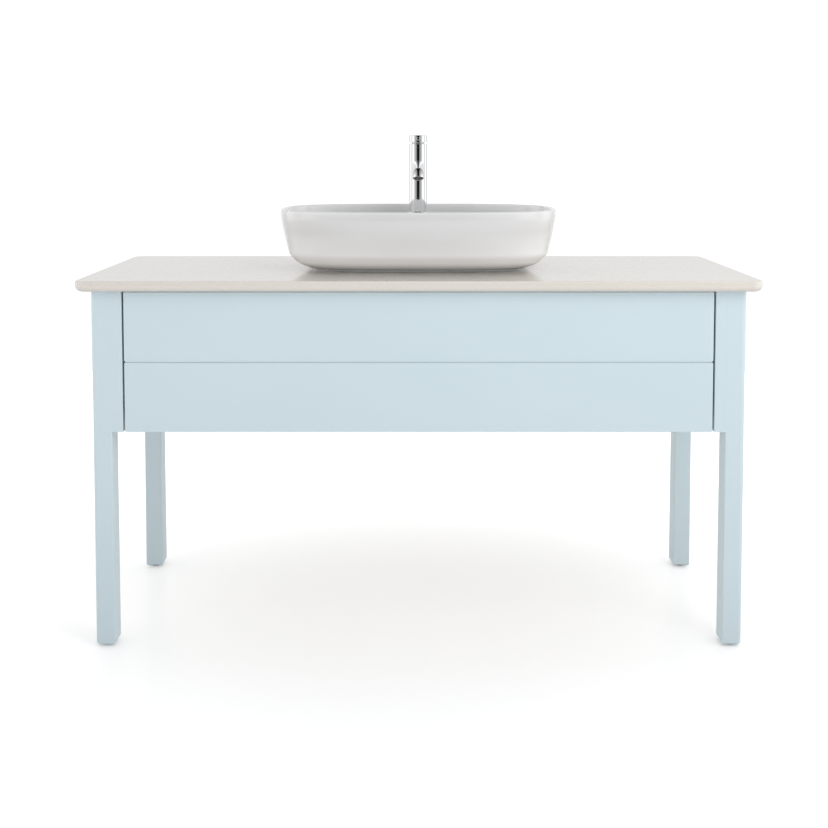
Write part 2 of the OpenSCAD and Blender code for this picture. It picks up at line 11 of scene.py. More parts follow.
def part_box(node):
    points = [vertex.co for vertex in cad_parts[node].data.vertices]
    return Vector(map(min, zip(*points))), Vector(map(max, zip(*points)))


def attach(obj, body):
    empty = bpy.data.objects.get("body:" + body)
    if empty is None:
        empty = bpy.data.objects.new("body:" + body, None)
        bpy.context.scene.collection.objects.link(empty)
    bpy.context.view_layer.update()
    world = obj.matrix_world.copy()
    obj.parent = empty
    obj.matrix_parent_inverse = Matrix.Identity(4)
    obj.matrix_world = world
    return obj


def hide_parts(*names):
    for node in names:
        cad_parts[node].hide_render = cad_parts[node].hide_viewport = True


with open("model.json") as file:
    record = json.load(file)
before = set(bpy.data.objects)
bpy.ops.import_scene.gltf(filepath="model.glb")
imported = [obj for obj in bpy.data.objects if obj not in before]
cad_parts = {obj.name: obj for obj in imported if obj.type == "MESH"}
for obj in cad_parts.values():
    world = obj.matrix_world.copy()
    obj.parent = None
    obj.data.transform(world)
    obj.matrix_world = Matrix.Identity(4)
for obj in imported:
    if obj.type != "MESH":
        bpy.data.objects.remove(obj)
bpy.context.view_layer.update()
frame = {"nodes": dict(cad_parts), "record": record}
scene = bpy.context.scene
scene.view_settings.view_transform = "Standard"
BODY_OF = {n: b for b, names in frame["record"]["behaviour"]["bodies"].items() for n in names}

# Heights and places in millimetres, as in the CAD source.
SLAB_TOP, SLAB_BOTTOM = 759, 737
CABINET_Z = 448                     # underside of the side panels
SEAM_Z0, SEAM_Z1 = 591, 593.5       # lower edges of the seam's strip and of the upper front above it
BAY_X, BAY_Y = 62, -110             # room for the trap in the upper drawer
BACK_T = 15                         # thickness of the upper drawer's back
TAP_Y, DRAIN_Y = 130, -45
OUTLET_Z = 661
TAP_R, SPOUT_R = 20.5, 12.5
PIVOT_Z = 1036.5                    # centre of the dome that the cap tips on
FLOOR_R = 3.2                       # metres


# ---------------------------------------------------------------- camera

def make_camera():
    data = bpy.data.cameras.new("camera")
    data.sensor_width, data.lens, data.shift_y = 36, 53.394, -0.23
    cam = bpy.data.objects.new("camera", data)
    scene.collection.objects.link(cam)
    cam.location = (-0.00955, -2.7304, 1.03062)
    cam.rotation_euler = (math.radians(90 - 3.638), 0, 0)
    scene.camera = cam


make_camera()


# ---------------------------------------------------------------- materials

class Graph:
    """A node tree with short calls for adding nodes and links."""

    def __init__(self, tree):
        self.tree = tree
        tree.nodes.clear()

    def node(self, kind, inputs=None, **settings):
        n = self.tree.nodes.new(kind)
        for key, value in settings.items():
            setattr(n, key, value)
        for key, value in (inputs or {}).items():
            if isinstance(value, bpy.types.NodeSocket):
                self.tree.links.new(value, n.inputs[key])
            else:
                n.inputs[key].default_value = value
        return n

    def math(self, operation, *values):
        return self.node("ShaderNodeMath", dict(enumerate(values)), operation=operation).outputs[0]

    def ramp(self, factor, stops):
        n = self.node("ShaderNodeValToRGB", {"Fac": factor})
        n.color_ramp.interpolation = "LINEAR"
        while len(n.color_ramp.elements) < len(stops):
            n.color_ramp.elements.new(1)
        for element, (place, colour) in zip(n.color_ramp.elements, stops):
            element.position = place
            element.color = (*colour, 1) if isinstance(colour, tuple) else (colour, colour, colour, 1)
        return n.outputs["Color"]

    def coords(self, stretch=(1, 1, 1)):
        """Object coordinates in metres, scaled along each axis."""
        base = self.node("ShaderNodeTexCoord").outputs["Object"]
        return self.node("ShaderNodeMapping", {"Vector": base, "Scale": stretch}).outputs[0]

    def noise(self, scale, detail=3, roughness=0.5, stretch=(1, 1, 1)):
        return self.node("ShaderNodeTexNoise", {"Vector": self.coords(stretch), "Scale": scale,
                                                "Detail": detail, "Roughness": roughness}).outputs["Fac"]

    def span(self, value, low, high, start=0.3, end=0.7):
        """Maps value from start..end to low..high, clamped."""
        return self.node("ShaderNodeMapRange", {"Value": value, "From Min": start, "From Max": end,
                                                "To Min": low, "To Max": high}).outputs[0]

    def blend(self, factor, a, b):
        """From a to b by factor, each a socket or a number."""
        n = self.node("ShaderNodeMix", data_type="FLOAT")
        for socket, value in ((n.inputs[0], factor), (n.inputs[2], a), (n.inputs[3], b)):
            if isinstance(value, bpy.types.NodeSocket):
                self.tree.links.new(value, socket)
            else:
                socket.default_value = value
        return n.outputs[0]

    def bump(self, height, strength, distance, after=None):
        inputs = {"Height": height, "Strength": strength, "Distance": distance}
        if after is not None:
            inputs["Normal"] = after
        return self.node("ShaderNodeBump", inputs).outputs[0]


def surface(name, fixed, build):
    """A material on one Principled shader: fixed socket values, and the links that build(graph) returns."""
    mat = bpy.data.materials.new(name)
    mat.use_nodes = True
    g = Graph(mat.node_tree)
    links = build(g)
    shader = g.node("ShaderNodeBsdfPrincipled", {**fixed, **links})
    g.node("ShaderNodeOutputMaterial", {"Surface": shader.outputs[0]})
    mat.diffuse_color = (0.7, 0.7, 0.7, 1)
    return mat


def lacquer(g):
    tone = g.noise(2.2, 4)
    peel = g.noise(520, 2, 0.4)
    fine = g.noise(2400, 2)
    return {
        "Base Color": g.ramp(tone, [(0.3, (0.549, 0.655, 0.702)), (0.7, (0.565, 0.671, 0.716))]),
        "Roughness": g.span(g.noise(60, 5), 0.33, 0.41),
        "Normal": g.bump(fine, 0.05, 0.00006, g.bump(peel, 0.14, 0.0001)),
    }


def quartz(g):
    grains = g.node("ShaderNodeTexVoronoi", {"Vector": g.coords(), "Scale": 620}).outputs["Color"]
    grain = g.node("ShaderNodeSeparateColor", {"Color": grains}).outputs[0]
    cloud = g.noise(7, 5)
    body = g.ramp(cloud, [(0.25, (0.652, 0.615, 0.567)), (0.75, (0.674, 0.637, 0.589))])
    fleck = g.ramp(grain, [(0.0, (0.90, 0.90, 0.89)), (0.12, (1.0, 1.0, 1.0)), (0.86, (1.0, 1.0, 1.0)),
                           (1.0, (1.045, 1.045, 1.04))])
    return {
        "Base Color": multiply(g, body, fleck, 0.8),
        "Roughness": g.span(g.noise(90, 4), 0.10, 0.17),
        "Normal": g.bump(g.noise(260, 3), 0.04, 0.0001),
    }


def multiply(g, a, b, factor):
    """One colour multiplied by another."""
    n = g.node("ShaderNodeMix", data_type="RGBA", blend_type="MULTIPLY")
    n.inputs[0].default_value = factor
    g.tree.links.new(a, n.inputs[6])
    g.tree.links.new(b, n.inputs[7])
    return n.outputs[2]


def ceramic(g):
    # Painted light: the colour is a little lighter towards the foot, where less light gets in, between these
    # heights in metres.
    low, high = 0.742, 0.848
    height = g.node("ShaderNodeSeparateXYZ", {0: g.coords()}).outputs[2]
    tone = g.math("ADD", g.span(g.noise(3, 3), 0.0, 0.06), g.span(height, 0.94, 0.0, low, high))
    return {
        "Base Color": g.ramp(tone, [(0.0, (0.588, 0.589, 0.592)), (0.35, (0.675, 0.676, 0.679)),
                                    (0.8, (0.86, 0.86, 0.86))]),
        "Roughness": g.span(g.noise(45, 4), 0.045, 0.085),
        "Normal": g.bump(g.noise(11, 2, 0.35), 0.10, 0.0006),
    }


def chrome(g):
    haze = g.noise(140, 5, 0.6)
    wipe = g.noise(900, 3, 0.5, (1, 1, 0.06))
    return {
        "Base Color": g.ramp(haze, [(0.3, (0.80, 0.805, 0.815)), (0.7, (0.83, 0.833, 0.84))]),
        "Roughness": g.span(haze, 0.03, 0.07),
        "Normal": g.bump(wipe, 0.03, 0.00002),
    }


def board(along):
    """Pale board with a fine grain along one axis."""
    stretch = [26, 26, 26]
    stretch[along] = 1.2

    def build(g):
        grain = g.noise(9, 8, 0.62, stretch)
        band = g.noise(1.6, 3, 0.5, stretch)
        pores = g.noise(60, 3, 0.6, stretch)
        colour = g.ramp(grain,
                        [(0.28, (0.56, 0.48, 0.36)), (0.5, (0.66, 0.585, 0.465)), (0.72, (0.71, 0.64, 0.52))])
        shade = g.ramp(band, [(0.3, 0.93), (0.7, 1.0)])
        return {
            "Base Color": multiply(g, colour, shade, 1.0),
            "Roughness": g.span(grain, 0.42, 0.56),
            "Normal": g.bump(pores, 0.22, 0.00012),
        }

    return build


def zinc(g):
    brush = g.noise(240, 4, 0.6, (1, 0.05, 1))
    bloom = g.noise(22, 5, 0.6)
    return {
        "Base Color": g.ramp(bloom, [(0.3, (0.56, 0.575, 0.60)), (0.7, (0.67, 0.675, 0.685))]),
        "Roughness": g.span(bloom, 0.28, 0.42),
        "Normal": g.bump(brush, 0.16, 0.00008),
    }


def metal(dark, bright, low, high):
    def build(g):
        tone = g.noise(55, 5, 0.6)
        return {
            "Base Color": g.ramp(tone, [(0.3, dark), (0.7, bright)]),
            "Roughness": g.span(tone, low, high),
            "Normal": g.bump(g.noise(700, 3), 0.08, 0.00005),
        }

    return build


def plastic(dark, bright, low, high, grain=900):
    def build(g):
        return {
            "Base Color": g.ramp(g.noise(40, 4), [(0.3, dark), (0.7, bright)]),
            "Roughness": g.span(g.noise(150, 3), low, high),
            "Normal": g.bump(g.noise(grain, 2), 0.2, 0.00008),
        }

    return build


MATERIAL = {
    "lacquer": surface("satin_lacquer", {"Specular IOR Level": 0.45}, lacquer),
    "quartz": surface("polished_quartz", {"IOR": 1.54, "Coat Weight": 0.25, "Coat Roughness": 0.06}, quartz),
    "ceramic": surface("gloss_ceramic", {"IOR": 1.52, "Coat Weight": 1.0, "Coat Roughness": 0.03,
                                         "Subsurface Weight": 0.5, "Subsurface Radius": (1, 1, 1),
                                         "Subsurface Scale": 0.03}, ceramic),
    "chrome": surface("bright_chrome", {"Metallic": 1.0}, chrome),
    "birch": surface("pale_board_along", {"Specular IOR Level": 0.4}, board(1)),
    "birch_across": surface("pale_board_across", {"Specular IOR Level": 0.4}, board(0)),
    "zinc": surface("zinc_steel", {"Metallic": 1.0}, zinc),
    "glide": surface("dark_plastic", {}, plastic((0.016, 0.016, 0.018), (0.026, 0.026, 0.028), 0.42, 0.58)),
    "rubber": surface("black_rubber", {},
                      plastic((0.018, 0.018, 0.018), (0.034, 0.034, 0.033), 0.62, 0.8, 500)),
    "brass": surface("plain_brass", {"Metallic": 1.0},
                     metal((0.70, 0.53, 0.26), (0.82, 0.65, 0.35), 0.22, 0.36)),
    "copper": surface("plain_copper", {"Metallic": 1.0},
                      metal((0.72, 0.42, 0.28), (0.84, 0.52, 0.37), 0.24, 0.38)),
    "cartridge": surface("pale_plastic", {}, plastic((0.74, 0.74, 0.71), (0.82, 0.82, 0.79), 0.4, 0.55)),
    "aerator": surface("grey_plastic", {}, plastic((0.10, 0.10, 0.11), (0.15, 0.15, 0.16), 0.34, 0.5)),
}


# ---------------------------------------------------------------- shapes

def circle_points(r, n=96, turn=0.0):
    return [(r * math.cos(turn + 2 * math.pi * i / n), r * math.sin(turn + 2 * math.pi * i / n))
            for i in range(n)]


def rounded(points, radii, steps=5, closed=True):
    """A path with its corners filleted, as a list of (x, y)."""
    out, n = [], len(points)
    for i, p in enumerate(points):
        r = radii[i] if isinstance(radii, (list, tuple)) else radii
        if r <= 0 or (not closed and i in (0, n - 1)):
            out.append(tuple(p))
            continue
        p0, p1, p2 = (Vector(points[(i + k) % n]) for k in (-1, 0, 1))
        a, b = (p0 - p1).normalized(), (p2 - p1).normalized()
        half = a.angle(b) / 2
        if half > math.pi / 2 - 1e-3:
            out.append(tuple(p))
            continue
        back = min(r / math.tan(half), 0.499 * (p0 - p1).length, 0.499 * (p2 - p1).length)
        r = back * math.tan(half)
        centre = p1 + (a + b).normalized() * (r / math.sin(half))
        start, end = p1 + a * back - centre, p1 + b * back - centre
        turn = start.angle_signed(end)
        for k in range(steps + 1):
            w = -turn * k / steps
            c, s = math.cos(w), math.sin(w)
            out.append((centre.x + start.x * c - start.y * s, centre.y + start.x * s + start.y * c))
    return out


def inset(outline, d):
    """A counter-clockwise closed outline moved inwards by d."""
    out, n = [], len(outline)
    for i in range(n):
        p0, p1, p2 = (Vector(outline[(i + k) % n]) for k in (-1, 0, 1))
        a, b = (p1 - p0).normalized(), (p2 - p1).normalized()
        na, nb = Vector((-a.y, a.x)), Vector((-b.y, b.x))
        m = na + nb
        m = m / max(m.length_squared / 2, 0.2)
        out.append((p1.x + m.x * d, p1.y + m.y * d))
    return out


def skin(rings, closed=False):
    """Vertices and faces through rings of equal counts. Open stacks are capped, closed ones join up."""
    n, m = len(rings[0]), len(rings)
    verts = [p for ring in rings for p in ring]
    faces = []
    for j in range(m if closed else m - 1):
        a, b = j * n, ((j + 1) % m) * n
        faces += [(a + i, a + (i + 1) % n, b + (i + 1) % n, b + i) for i in range(n)]
    if not closed:
        faces += [tuple(range(n))[::-1], tuple(range((m - 1) * n, m * n))]
    return verts, faces


def prism(outline, z0, z1, ease0=0.5, ease1=0.5, steps=3):
    """A plate of any outline with quarter-round easing at each end, along Z."""
    rings = []
    for k in range(steps + 1):
        a = math.pi / 2 * k / steps
        ring = inset(outline, ease0 * (1 - math.sin(a)))
        rings.append([(x, y, z0 + ease0 * (1 - math.cos(a))) for x, y in ring])
    for k in range(steps + 1):
        a = math.pi / 2 * (1 - k / steps)
        ring = inset(outline, ease1 * (1 - math.sin(a)))
        rings.append([(x, y, z1 - ease1 * (1 - math.cos(a))) for x, y in ring])
    return skin(rings)


def lathe(profile, closed=False, segments=96, shape=None):
    """A profile of (radius, z) turned round Z. shape(angle, r) may change the radius."""
    rings = []
    for r, z in profile:
        ring = []
        for i in range(segments):
            a = 2 * math.pi * i / segments
            rr = shape(a, r) if shape else r
            ring.append((rr * math.cos(a), rr * math.sin(a), z))
        rings.append(ring)
    return skin(rings, closed)


def turned(parts, matrix=None, at=(0, 0, 0)):
    """Vertices and faces moved by a matrix and then by an offset."""
    verts, faces = parts
    m = matrix or Matrix.Identity(3)
    off = Vector(at)
    return [tuple(m @ Vector(v) + off) for v in verts], faces


def joined(*parts):
    verts, faces = [], []
    for v, f in parts:
        base = len(verts)
        verts += v
        faces += [tuple(i + base for i in face) for face in f]
    return verts, faces


ALONG_X = Matrix(((0, 0, 1), (1, 0, 0), (0, 1, 0)))     # local x, y, z to world y, z, x
ALONG_Y = Matrix(((0, 1, 0), (0, 0, 1), (1, 0, 0)))     # local x, y, z to world z, x, y
TO_WALL = Matrix.Rotation(math.radians(-90), 3, "X")    # local z to world +y


def mesh_of(parts, name):
    """A clean mesh in metres from vertices and faces in millimetres."""
    verts, faces = parts
    mesh = bpy.data.meshes.new(name)
    mesh.from_pydata([[c * 0.001 for c in v] for v in verts], [], faces)
    bm = bmesh.new()
    bm.from_mesh(mesh)
    bmesh.ops.remove_doubles(bm, verts=bm.verts, dist=2e-6)
    bmesh.ops.dissolve_degenerate(bm, edges=bm.edges, dist=1e-6)
    bmesh.ops.recalc_face_normals(bm, faces=bm.faces)
    bm.to_mesh(mesh)
    bm.free()
    return mesh


def boolean(parts, others, operation):
    """parts cut by, or united with, each of others, as vertices and faces in millimetres."""
    made = []
    for i, p in enumerate([parts, *others]):
        o = bpy.data.objects.new(f"cutting_{i}", mesh_of(p, f"cutting_{i}"))
        scene.collection.objects.link(o)
        made.append(o)
    for o in made[1:]:
        m = made[0].modifiers.new("cut", "BOOLEAN")
        m.object, m.operation, m.solver = o, operation, "EXACT"
    result = made[0].evaluated_get(bpy.context.evaluated_depsgraph_get()).to_mesh()
    out = ([tuple(c * 1000 for c in v.co) for v in result.vertices],
           [tuple(p.vertices) for p in result.polygons])
    for o in made:
        data = o.data
        bpy.data.objects.remove(o)
        bpy.data.meshes.remove(data)
    return out


def add_piece(name, parts, slot, material=None, replaces=None, body=None, sharp=38, weighted=True):
    """A piece of the object in its place, riding on its body."""
    mesh = mesh_of(parts, name)
    mesh.materials.append(MATERIAL[material or slot])
    # Flat caps are the only faces with many corners, and they are shaded flat.
    for p in mesh.polygons:
        p.use_smooth = len(p.vertices) < 5
    if sharp:
        mesh.set_sharp_from_angle(angle=math.radians(sharp))
    piece = bpy.data.objects.new(name, mesh)
    scene.collection.objects.link(piece)
    if weighted:
        m = piece.modifiers.new("normals", "WEIGHTED_NORMAL")
        m.keep_sharp = True
    nodes = [replaces] if isinstance(replaces, str) else list(replaces or [])
    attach(piece, body or BODY_OF[nodes[0]])
    if nodes:
        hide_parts(*nodes)
    return piece


def box_mm(node):
    lo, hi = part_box(node)
    return [c * 1000 for c in lo], [c * 1000 for c in hi]


def rectangle(x0, x1, y0, y1, radii=1.0, steps=4):
    """radii from the corner (x0, y0), counter-clockwise."""
    return rounded([(x0, y0), (x1, y0), (x1, y1), (x0, y1)], radii, steps)


def bar(node, axis, radii=1.0, ease0=1.0, ease1=1.0, steps=3):
    """A board in a CAD node's box, its outline across the given axis."""
    lo, hi = box_mm(node)
    u, v = ((1, 2), (2, 0), (0, 1))[axis]
    parts = prism(rectangle(lo[u], hi[u], lo[v], hi[v], radii, steps + 1), lo[axis], hi[axis], ease0,
                  ease1, steps)
    return turned(parts, (ALONG_X, ALONG_Y, None)[axis])


def cylinder(r, z0, z1, at=(0, 0, 0), matrix=None, n=64):
    return turned(skin([[(x, y, z) for x, y in circle_points(r, n)] for z in (z0, z1)]), matrix, at)


# ---------------------------------------------------------------- slab, legs and cabinet

def slab():
    w, d, r = 694, 285, 24
    outline = rectangle(-w, w, -d, d, r, 14)
    rings = []
    for k in range(9):
        a = math.pi / 2 * k / 8
        z = SLAB_BOTTOM + 12 * (1 - math.cos(a))
        rings.append([(x, y, z) for x, y in inset(outline, 12 * (1 - math.sin(a)))])
    for k in range(6):
        a = math.pi / 2 * (1 - k / 5)
        z = SLAB_TOP - 3 * (1 - math.cos(a))
        rings.append([(x, y, z) for x, y in inset(outline, 3 * (1 - math.sin(a)))])
    holes = [cylinder(30, SLAB_BOTTOM - 5, SLAB_TOP + 5, (0, y, 0), n=72) for y in (DRAIN_Y, TAP_Y)]
    add_piece("slab_top", boolean(skin(rings), holes, "DIFFERENCE"), "quartz", replaces="slab")


def legs():
    for end in ("front", "back"):
        for side in ("left", "right"):
            node = f"leg_{end}_{side}"
            # Corners from (x0, y0), counter-clockwise; the outer one is the roundest.
            radii = [3, 3, 3, 3]
            radii[{"frontleft": 0, "frontright": 1, "backright": 2, "backleft": 3}[end + side]] = 10
            lo, hi = box_mm(node)
            lower = rectangle(lo[0], hi[0], lo[1], hi[1], radii, 7)
            upper = rectangle(lo[0], hi[0], lo[1], hi[1], [r if r == 10 else 0.15 for r in radii], 7)
            rings = [[(x, y, z) for x, y in ring] for ring, z in (
                (inset(lower, 2.9), 5), (inset(lower, 2.6), 5.1), (inset(lower, 0.3), 7.6), (lower, 8.2),
                (lower, CABINET_Z), (upper, CABINET_Z), (upper, SLAB_BOTTOM))]
            add_piece(node + "_post", skin(rings), "lacquer", replaces=node)
            g = f"glide_{end}_{side}"
            lo, hi = box_mm(g)
            profile = rounded([(0, 0), (13, 0), (13, 5), (4, 5), (4, 17), (0, 17)],
                              [0, 0.8, 0.3, 0.4, 0.8, 0], 4, False)
            at = ((lo[0] + hi[0]) / 2, (lo[1] + hi[1]) / 2, 0)
            add_piece(g + "_foot", turned(lathe(profile, segments=48), at=at), "glide", replaces=g)


def cabinet():
    for side in ("left", "right"):
        radii = [0.15, 1.5, 1, 1] if side == "left" else [1.5, 0.15, 1, 1]
        add_piece(f"side_panel_{side}_board", bar(f"side_panel_{side}", 2, radii, 0.15, 0.15), "lacquer",
                  replaces=f"side_panel_{side}")
        add_piece(f"apron_{side}_board", bar(f"apron_{side}", 1, 1.2, 0.3, 0.3), "lacquer",
                  replaces=f"apron_{side}")
    rail = bar("back_rail", 0, 1.0, 0.3, 0.3)
    holes = [cylinder(4, 240, 280, (x, 0, (SLAB_BOTTOM + 691) / 2), TO_WALL, 32) for x in (-520, 520)]
    add_piece("back_rail_board", boolean(rail, holes, "DIFFERENCE"), "lacquer", replaces="back_rail")
    add_piece("front_rail_board", bar("front_rail", 0, 1.0, 0.3, 0.3), "birch", "birch_across", "front_rail")


def screw():
    """A pan head with a cross recess."""
    head = rounded([(0, 0), (3.6, 0), (3.4, 1.6), (0, 1.9)], [0, 0.3, 1.0, 0], 4, False)
    body = lathe(head, segments=32)
    slots = [prism(rectangle(-a, a, -b, b, 0.1, 1), 0.8, 4, 0.01, 0.01, 1)
             for a, b in ((1.9, 0.42), (0.42, 1.9))]
    return boolean(body, slots, "DIFFERENCE")


def runners():
    """Steel channels and drawer rails, folded from sheet with round bends."""
    t = 1.2
    for drawer in ("upper", "lower"):
        for side, sx in (("left", -1), ("right", 1)):
            for kind in ("channel", "runner"):
                node = f"{drawer}_{kind}_{side}"
                lo, hi = box_mm(node)
                z0, z1 = lo[2], hi[2]
                base, tip = (hi[0], lo[0]) if (sx > 0) == (kind == "channel") else (lo[0], hi[0])
                s = 1 if tip > base else -1
                pts = [(base, z0), (tip, z0), (tip, z0 + t), (base + s * t, z0 + t), (base + s * t, z1 - t),
                       (tip, z1 - t), (tip, z1), (base, z1)]
                if s < 0:
                    pts = pts[::-1]
                r = {(base, z0): 2.0, (base, z1): 2.0, (base + s * t, z0 + t): 0.8,
                     (base + s * t, z1 - t): 0.8}
                outline = rounded(pts, [r.get(p, 0.4) for p in pts], 4)
                body = prism([(x, z) for x, z in outline], -hi[1], -lo[1], 0.25, 0.25, 1)
                body = turned(body, Matrix(((1, 0, 0), (0, 0, -1), (0, 1, 0))))
                turn = Matrix.Rotation(math.radians(90 * s), 3, "Y")
                mid = (z0 + z1) / 2
                heads = [turned(screw(), turn, (base + s * (t - 0.1), y, mid + dz))
                         for y, dz in ((lo[1] + 28, 4), (lo[1] + 128, -4), (lo[1] + 292, 4),
                                       (hi[1] - 30, -4))]
                add_piece(node + "_profile", joined(body, *heads), "zinc", replaces=node)


# ---------------------------------------------------------------- drawers

def drawers():
    def bay(y):
        """The cut-out for the trap in an outline whose back edge is at y."""
        return [(BAY_X, y), (BAY_X, BAY_Y), (-BAY_X, BAY_Y), (-BAY_X, y)]

    for drawer in ("upper", "lower"):
        lo, hi = box_mm(f"{drawer}_front")
        z0 = SEAM_Z1 if drawer == "upper" else lo[2]
        front = prism(rectangle(lo[0], hi[0], z0, hi[2], 2, 4), -hi[1], -lo[1], 0.5, 1.5, 4)
        front = turned(front, Matrix(((1, 0, 0), (0, 0, -1), (0, 1, 0))))
        if drawer == "upper":
            # The set-back strip that closes the seam.
            strip = prism(rectangle(lo[0] + 2, hi[0] - 2, -261, -243, 0.5, 3), SEAM_Z0, SEAM_Z1 + 1,
                          0.3, 0.2, 2)
            front = joined(front, strip)
        add_piece(f"{drawer}_front_panel", front, "lacquer", replaces=f"{drawer}_front")
        for side in ("left", "right"):
            node = f"{drawer}_side_{side}"
            add_piece(node + "_board", bar(node, 1, 1.2, 0.3, 0.8), "birch", replaces=node)
    lo, hi = box_mm("upper_bottom")
    outline = [(lo[0], lo[1]), (hi[0], lo[1]), (hi[0], hi[1]), *bay(hi[1]), (lo[0], hi[1])]
    add_piece("upper_bottom_board", prism(outline, lo[2], hi[2], 0.3, 0.3, 1), "birch",
              replaces="upper_bottom")
    lo, hi = box_mm("upper_back")
    t, x, y = hi[1] - BACK_T, BAY_X + BACK_T, BAY_Y - BACK_T
    outline = [(lo[0], hi[1]), (lo[0], t), (-x, t), (-x, y), (x, y), (x, t), (hi[0], t),
               (hi[0], hi[1]), *bay(hi[1])]
    outline = rounded(outline, [0.6, 0.6, 0.6, 1.2, 1.2, 0.6, 0.6, 0.6, 1.2, 0.6, 0.6, 1.2], 3)
    add_piece("upper_back_board", prism(outline, lo[2], hi[2], 0.3, 0.5, 2), "birch", "birch_across",
              "upper_back")
    add_piece("lower_bottom_board", bar("lower_bottom", 2, 0.5, 0.3, 0.3), "birch", replaces="lower_bottom")
    add_piece("lower_back_board", bar("lower_back", 0, 1.0, 0.3, 0.3), "birch", "birch_across", "lower_back")


# ---------------------------------------------------------------- basin

def spow(v, p):
    return math.copysign(abs(v) ** p, v)


def ease(v):
    t = max(0.0, min(1.0, v))
    return t * t * (3 - 2 * t)


RIM_A, RIM_B, RIM_Y, BASIN_H, RIM_T, PLATFORM_H, FOOT_H = 303.3, 200, 5, 133, 9, 110.5, 4.5
WALL = [(0, 1), (0.043, 0.76), (0.11, 0.54), (0.23, 0.32), (0.41, 0.2), (0.58, 0.108), (0.76, 0.04),
        (0.9, 0), (1, 0)]


def outer(h, extra=0.0):
    """One level of the outer wall: half width, half depth, centre, squareness, front and back height."""
    k = (h - FOOT_H) / (BASIN_H - FOOT_H)
    share = WALL[0][1]
    for (k0, v0), (k1, v1) in zip(WALL, WALL[1:]):
        if k0 <= k <= k1:
            share = v0 + (v1 - v0) * (k - k0) / (k1 - k0)
    d = 63 * share
    n = 4 + (2.8 - 4) * ease((h - FOOT_H) / (0.6 * BASIN_H))
    return (RIM_A - d - extra, RIM_B - d * 0.915 - extra, RIM_Y + d * 0.395, n, h, h)


def inner(inset_by, front, back):
    return (RIM_A - inset_by, RIM_B - inset_by, RIM_Y, 2.8, front, back)


def bowl(a, y0, y1, n, front, back):
    return (a, (y1 - y0) / 2, (y0 + y1) / 2, n, front, back)


def between(levels, steps):
    """Levels with smooth ones added between them: Catmull-Rom through each number, spaced by distance."""
    out = []
    for i in range(len(levels) - 1):
        p0, p1, p2, p3 = (levels[max(0, min(len(levels) - 1, i + k))] for k in (-1, 0, 1, 2))

        def gap(a, b):
            return max(0.6, math.hypot(a[0] - b[0], a[1] - b[1], a[4] - b[4])) ** 0.5

        d01, d12, d23 = gap(p0, p1), gap(p1, p2), gap(p2, p3)
        for k in range(steps):
            t = k / steps
            point = []
            for a, b, c, d in zip(p0, p1, p2, p3):
                m1 = ((b - a) / d01 - (c - a) / (d01 + d12) + (c - b) / d12) * d12 if i else c - b
                last = i >= len(levels) - 2
                m2 = c - b if last else ((c - b) / d12 - (d - b) / (d12 + d23) + (d - c) / d23) * d12
                h = (2 * t**3 - 3 * t**2 + 1, t**3 - 2 * t**2 + t, -2 * t**3 + 3 * t**2, t**3 - t**2)
                point.append(h[0] * b + h[1] * m1 + h[2] * c + h[3] * m2)
            out.append(tuple(point))
    return out + [levels[-1]]


def ring_of(level, n=288):
    a, b, yc, square, front, back = level
    out = []
    for i in range(n):
        t = 2 * math.pi * (i + 0.5) / n
        c, s = math.cos(t), math.sin(t)
        z = SLAB_TOP + front + (back - front) * ease((s - 0.1) / 0.5)
        out.append((a * spow(c, 2 / square), yc + b * spow(s, 2 / square), z))
    return out


def basin():
    p, h, w = PLATFORM_H, BASIN_H, BASIN_H - FOOT_H
    foot = [outer(0.4, 10.8), outer(0, 11.4)][::-1] + [outer(0.4, 10.2), outer(FOOT_H - 0.6, 10)]
    wall = [outer(FOOT_H, 9.4), outer(FOOT_H, 1.6)] + [outer(FOOT_H + k * w)
            for k in (0.006, 0.03, 0.07, 0.12, 0.18, 0.25, 0.34, 0.45, 0.58, 0.72, 0.86)]
    rim = [outer(h - 4.5), outer(h - 2.1, 0.6), outer(h - 0.5, 2.2), outer(h, 4), inner(RIM_T - 4, h, h),
           inner(RIM_T - 2, h - 0.6, h - 0.6), inner(RIM_T - 0.6, h - 2.2, h - 2.2),
           inner(RIM_T, h - 4.5, h - 4.5)]
    inside = [inner(RIM_T + 1, h - 10, p + 12), inner(RIM_T + 2.2, p - 1, p + 5),
              inner(RIM_T + 4.8, p - 10, p + 1.4),
              inner(RIM_T + 9, p - 20, p), bowl(268, -168, 84, 2.8, p - 36, p),
              bowl(264, -164, 80, 2.8, p - 45, p - 1.8), bowl(260, -160, 76, 2.8, p - 53, p - 8),
              bowl(252, -153, 70, 2.8, 45, 78), bowl(240, -145, 62, 2.7, 34, 52),
              bowl(216, -131, 46, 2.6, 25, 34), bowl(170, -111, 22, 2.4, 20.5, 24),
              bowl(110, -92, 2, 2.2, 18, 19), bowl(60, -85, -5, 2, 16.5, 16.5), bowl(36, -81, -9, 2, 16, 16)]
    levels = foot + between(wall, 3) + between(rim, 3)[1:] + between(inside, 5)
    levels += [bowl(r, DRAIN_Y - r, DRAIN_Y + r, 2, z, z)
               for r, z in ((25, 15.9), (23.6, 15.5), (23, 14.6), (23, 0))]
    add_piece("vessel_basin", skin([ring_of(v) for v in levels], closed=True), "ceramic", replaces="basin",
              sharp=50, weighted=False)


# ---------------------------------------------------------------- tap

